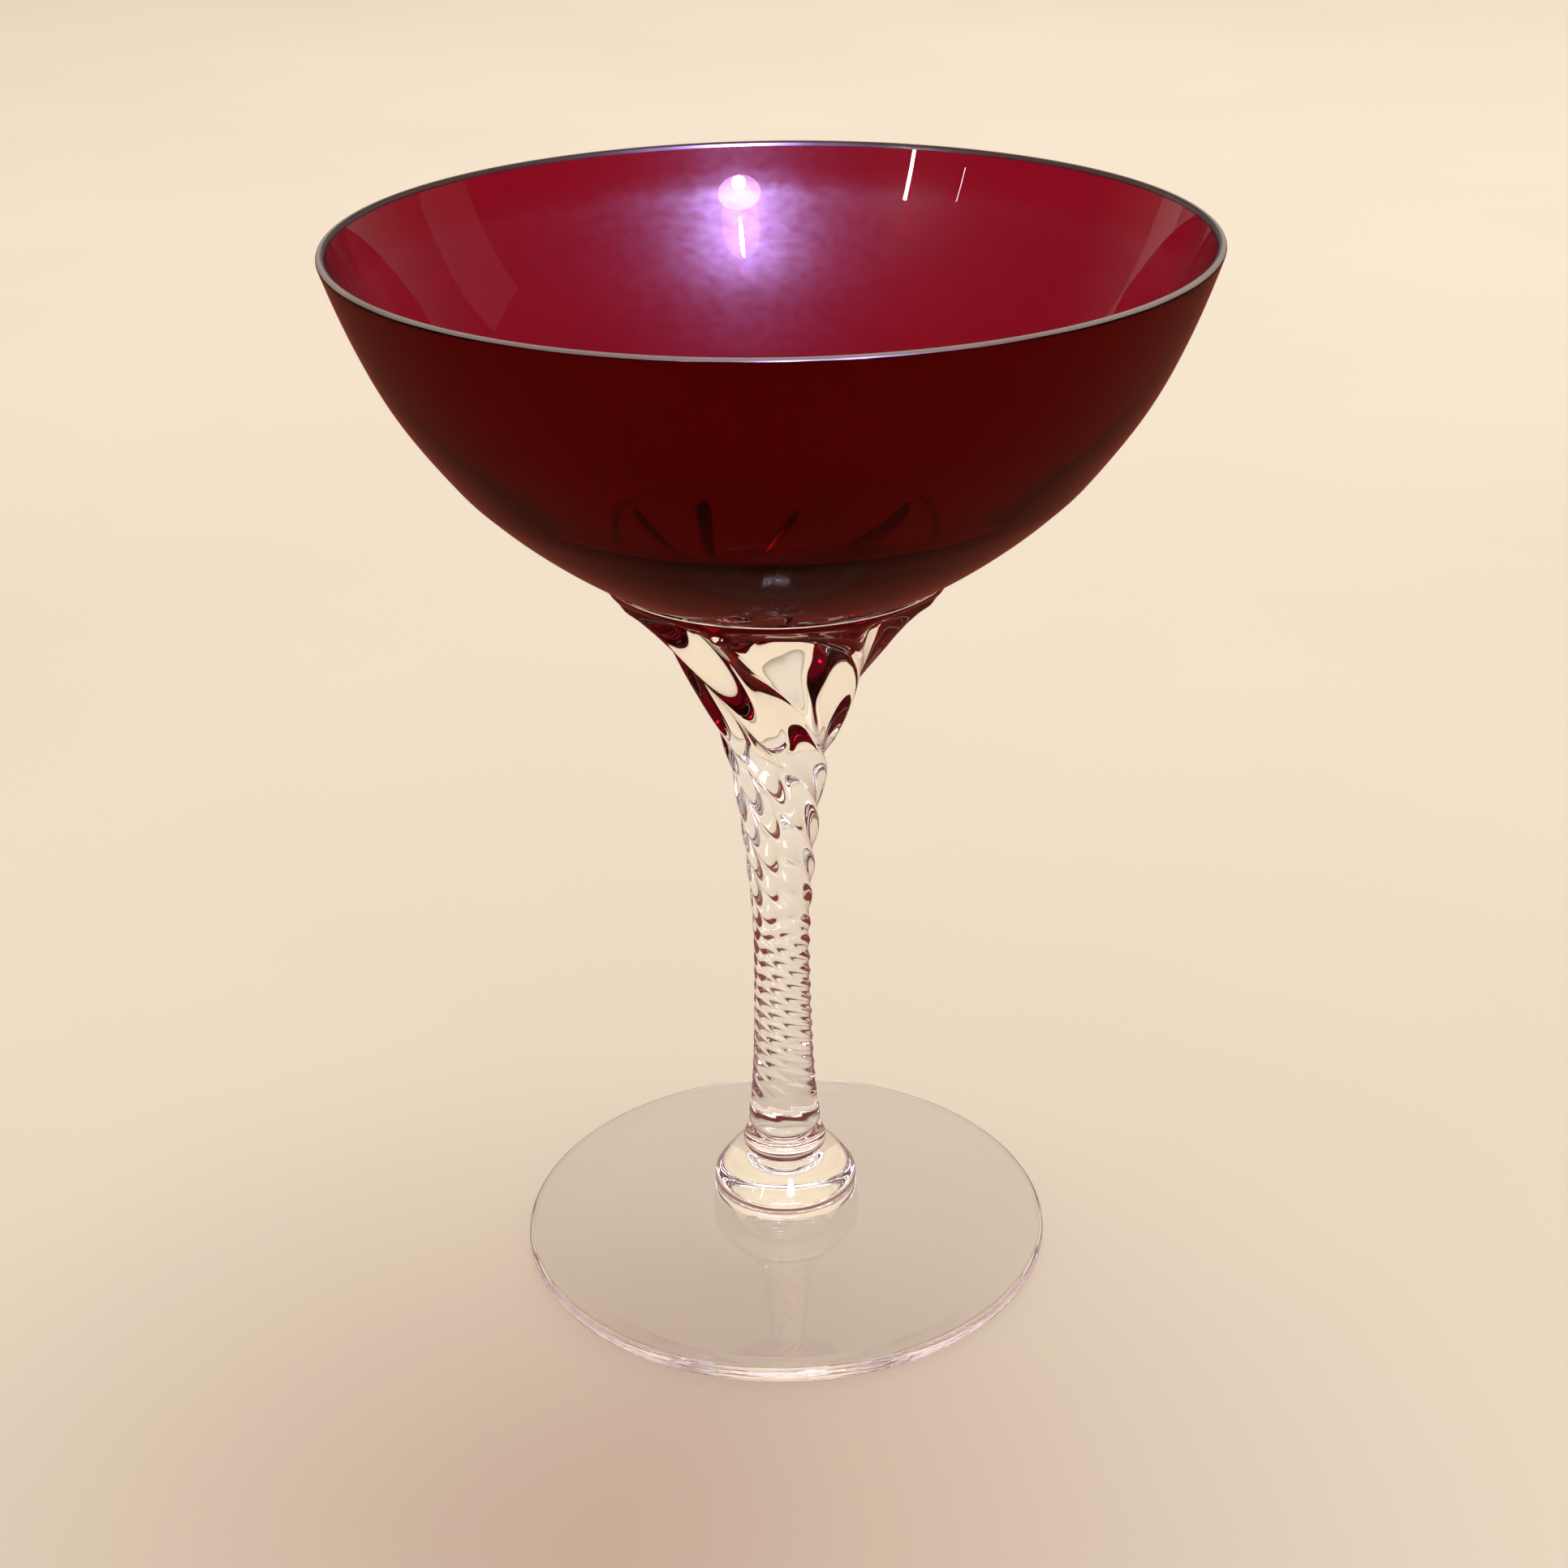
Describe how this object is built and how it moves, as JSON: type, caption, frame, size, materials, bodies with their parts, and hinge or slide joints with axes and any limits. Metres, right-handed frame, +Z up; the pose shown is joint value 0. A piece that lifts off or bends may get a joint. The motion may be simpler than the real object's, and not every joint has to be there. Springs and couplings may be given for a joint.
{
  "type": "champagne coupe",
  "caption": "Stemmed champagne glass with a wide ruby-lined clear bowl, a twisted fluted clear stem and a round foot.",
  "frame": {"origin": "on the glass's axis, in the plane the foot rests on", "axes": "+Z up along the axis of the bowl and stem; +X to the right and +Y away from a person who looks at the front"},
  "size_m": [0.106, 0.106, 0.14],
  "materials": {
    "ruby_glass": "polished",
    "clear_glass": "polished"
  },
  "bodies": {
    "root": {"bowl_ruby_lining": "ruby_glass", "bowl_clear_casing": "clear_glass", "twisted_stem": "clear_glass", "stem_collar": "clear_glass", "foot_knop": "clear_glass", "foot_disc": "clear_glass"}
  },
  "joints": []
}
